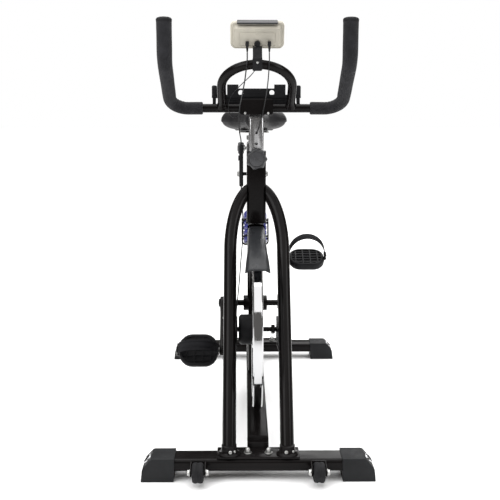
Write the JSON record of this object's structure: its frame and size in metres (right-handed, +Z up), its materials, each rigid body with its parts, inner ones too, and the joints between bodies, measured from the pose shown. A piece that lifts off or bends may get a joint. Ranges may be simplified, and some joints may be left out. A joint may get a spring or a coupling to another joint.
{
  "type": "exercise bike",
  "caption": "Upright belt-driven exercise bike with a front flywheel in a hoop frame, adjustable handlebar and saddle, toe-strap pedals, console and bottle.",
  "frame": {"origin": "on the floor, at the middle of the outer box's width and length", "axes": "+Z up, -Y towards the bike's front, +X to the rider's left"},
  "size_m": [0.54, 1.0218, 1.0545],
  "materials": {
    "black_paint": "gloss black powder coat",
    "black_plastic": "fine grained black moulding",
    "cap_plastic": "satin black moulding",
    "fender_plastic": "dark grey, satin gloss",
    "grip_foam": "closed-cell foam",
    "polished_steel": "mirror polished rim",
    "plated_tube": "satin chrome plate",
    "zinc": "zinc plated",
    "console_shell": "warm grey moulding",
    "console_bezel": "off-white moulding",
    "saddle_vinyl": "matte grained vinyl over foam",
    "black_rubber": "black rubber",
    "lead_jacket": "flexible black jacket",
    "bottle_plastic": "translucent-looking blue, modelled opaque",
    "felt": "pressed felt"
  },
  "bodies": {
    "frame": {"belt_guard": "black_plastic", "bottle_cage": "black_paint", "bottom_rail": "black_paint", "console_lead": "lead_jacket", "drive_belt": "black_rubber", "front_end_cap_left": "cap_plastic", "front_end_cap_right": "cap_plastic", "front_stabiliser": "black_paint", "head_tube": "black_paint", "hoop_leg_left": "black_paint", "hoop_leg_right": "black_paint", "lead_guard": "black_plastic", "main_tube": "black_paint", "rear_end_cap_left": "cap_plastic", "rear_end_cap_right": "cap_plastic", "rear_stabiliser": "black_paint", "seat_tube": "black_paint", "sensor_lead": "lead_jacket", "transport_bracket_left": "black_paint", "transport_bracket_right": "black_paint", "wheel_fender": "fender_plastic"},
    "flywheel_set": {"flywheel": "polished_steel", "flywheel_axle": "zinc", "flywheel_hub_cover": "black_plastic", "small_pulley": "zinc"},
    "crank_set": {"crank_axle": "zinc", "large_pulley": "black_plastic", "crank_arm_left": "black_paint", "crank_arm_right": "black_paint"},
    "left_pedal": {"pedal_left": "black_plastic", "toe_strap_left": "black_rubber"},
    "right_pedal": {"pedal_right": "black_plastic", "toe_strap_right": "black_rubber"},
    "handlebar_set": {"handlebar_post": "plated_tube", "stem_block": "black_paint", "handlebar": "black_paint", "grip_left": "grip_foam", "grip_right": "grip_foam", "centre_loop": "black_paint", "elbow_rest": "black_plastic", "console_bracket": "black_plastic", "console_shell": "console_shell", "console_bezel": "console_bezel", "jack_plug_left": "black_rubber", "jack_plug_right": "black_rubber", "pulse_lead": "lead_jacket", "grip_lead": "lead_jacket"},
    "console_button": {"console_button": "black_plastic"},
    "handlebar_knob": {"handlebar_knob": "black_plastic"},
    "seat_post": {"seat_post": "plated_tube"},
    "saddle_set": {"saddle_slide_bar": "black_paint", "saddle_clamp": "zinc", "saddle": "saddle_vinyl"},
    "seat_height_knob": {"seat_height_knob": "black_plastic"},
    "seat_slide_knob": {"seat_slide_knob": "black_plastic"},
    "resistance_knob": {"resistance_knob": "black_plastic"},
    "brake_pad": {"brake_pad": "felt"},
    "left_transport_wheel": {"transport_wheel_left": "black_rubber"},
    "right_transport_wheel": {"transport_wheel_right": "black_rubber"},
    "water_bottle": {"water_bottle": "bottle_plastic"}
  },
  "joints": [
    {"name": "flywheel_spin", "type": "hinge", "parent": "frame", "child": "flywheel_set", "pos_m": [0, -0.2181, 0.2935], "axis": [1, 0, 0], "continuous": true},
    {"name": "crank_spin", "type": "hinge", "parent": "frame", "child": "crank_set", "pos_m": [0, 0.0919, 0.286], "axis": [1, 0, 0], "continuous": true},
    {"name": "left_pedal_spin", "type": "hinge", "parent": "crank_set", "child": "left_pedal", "pos_m": [0.158, 0.22767, 0.38831], "axis": [1, 0, 0], "continuous": true},
    {"name": "right_pedal_spin", "type": "hinge", "parent": "crank_set", "child": "right_pedal", "pos_m": [-0.158, -0.04387, 0.18369], "axis": [1, 0, 0], "continuous": true},
    {"name": "handlebar_height", "type": "slide", "parent": "frame", "child": "handlebar_set", "axis": [0, 0, 1], "range_m": [-0.028, 0.056], "deforming": ["console_lead"]},
    {"name": "console_button_press", "type": "slide", "parent": "handlebar_set", "child": "console_button", "axis": [0, -0.9063, -0.4226], "range_m": [0, 0.0015], "stiffness_N_per_m": 400},
    {"name": "handlebar_knob_turn", "type": "hinge", "parent": "frame", "child": "handlebar_knob", "pos_m": [0, -0.1031, 0.716], "axis": [0, -1, 0], "range_deg": [0, 720]},
    {"name": "seat_height", "type": "slide", "parent": "frame", "child": "seat_post", "axis": [0, 0.3989, 0.917], "range_m": [-0.05, 0.07]},
    {"name": "saddle_slide", "type": "slide", "parent": "seat_post", "child": "saddle_set", "axis": [0, 1, 0], "range_m": [-0.012, 0.05]},
    {"name": "seat_height_knob_turn", "type": "hinge", "parent": "frame", "child": "seat_height_knob", "pos_m": [0, 0.2494, 0.59091], "axis": [0, 0.917, -0.3989], "range_deg": [0, 720]},
    {"name": "seat_slide_knob_turn", "type": "hinge", "parent": "seat_post", "child": "seat_slide_knob", "pos_m": [-0.0241, 0.2854, 0.7235], "axis": [-1, 0, 0], "range_deg": [0, 720]},
    {"name": "resistance_knob_turn", "type": "hinge", "parent": "frame", "child": "resistance_knob", "pos_m": [0, -0.00866, 0.5261], "axis": [0, -0.6691, -0.7431], "range_deg": [0, 1080]},
    {"name": "brake_pad_slide", "type": "slide", "parent": "frame", "child": "brake_pad", "axis": [0, -0.6691, -0.7431], "range_m": [0, 0.0028]},
    {"name": "left_transport_wheel_spin", "type": "hinge", "parent": "frame", "child": "left_transport_wheel", "pos_m": [0.137, -0.4879, 0.035], "axis": [1, 0, 0], "continuous": true},
    {"name": "right_transport_wheel_spin", "type": "hinge", "parent": "frame", "child": "right_transport_wheel", "pos_m": [-0.137, -0.4879, 0.035], "axis": [1, 0, 0], "continuous": true},
    {"name": "bottle_lift", "type": "slide", "parent": "frame", "child": "water_bottle", "axis": [0, 0.3989, 0.917], "range_m": [0, 0.08]}
  ],
  "couplings": [
    {"joint": "crank_spin", "follows": "flywheel_spin", "ratio": 0.38559},
    {"joint": "brake_pad_slide", "follows": "resistance_knob_turn", "m_per_rad": 0.000148}
  ]
}
